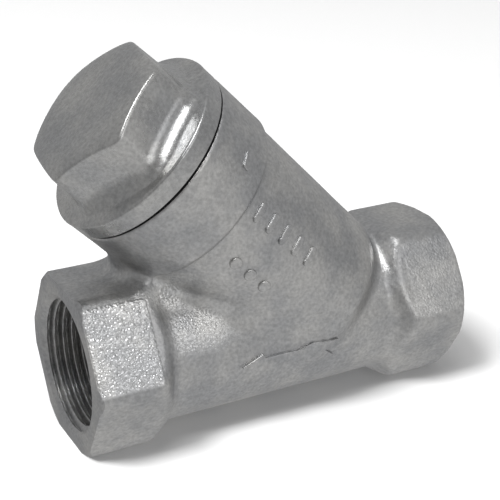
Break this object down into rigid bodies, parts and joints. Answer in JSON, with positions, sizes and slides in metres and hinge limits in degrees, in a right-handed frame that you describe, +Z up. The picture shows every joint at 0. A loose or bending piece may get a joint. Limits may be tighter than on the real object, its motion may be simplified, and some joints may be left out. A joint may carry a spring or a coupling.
{
  "type": "y strainer",
  "caption": "Screwed cast Y strainer with hexagon ends, a slanted branch closed by a hexagon cap, and a pull-out perforated screen basket inside.",
  "frame": {"origin": "on the run's axis, midway between the two end faces, which is mount run_centre", "axes": "+X along the run towards the inlet end, +Z up towards the branch, -Y the side with the flow arrow; the branch leans back towards -X"},
  "size_m": [0.0817, 0.037, 0.0738],
  "materials": {
    "cast_body": "investment-cast stainless steel, blasted satin grain; turned end faces and cut threads",
    "cast_cap": "investment-cast stainless steel, tumbled smooth",
    "gasket": "dark compressed sheet, matt",
    "screen_steel": "rolled stainless sheet, bright",
    "screen_mesh": "fine woven stainless wire"
  },
  "bodies": {
    "strainer_body": {"body": "cast_body"},
    "basket": {"screen_sheet": "screen_steel", "screen_mesh": "screen_mesh", "screen_seat_ring": "screen_steel", "screen_cap_ring": "screen_steel"},
    "gasket": {"cap_gasket": "gasket"},
    "cap": {"cap": "cast_cap"}
  },
  "joints": [
    {"name": "basket_pull", "type": "slide", "parent": "strainer_body", "child": "basket", "axis": [-0.7071, 0, 0.7071], "range_m": [0, 0.06]},
    {"name": "cap_advance", "type": "slide", "parent": "basket", "child": "gasket", "axis": [-0.7071, 0, 0.7071], "range_m": [0, 0.0105]},
    {"name": "cap_turn", "type": "hinge", "parent": "gasket", "child": "cap", "pos_m": [-0.02257, 0, 0.03882], "axis": [-0.7071, 0, 0.7071], "range_deg": [0, 2520]}
  ],
  "couplings": [
    {"joint": "cap_advance", "follows": "cap_turn", "m_per_rad": 0.00023873}
  ]
}
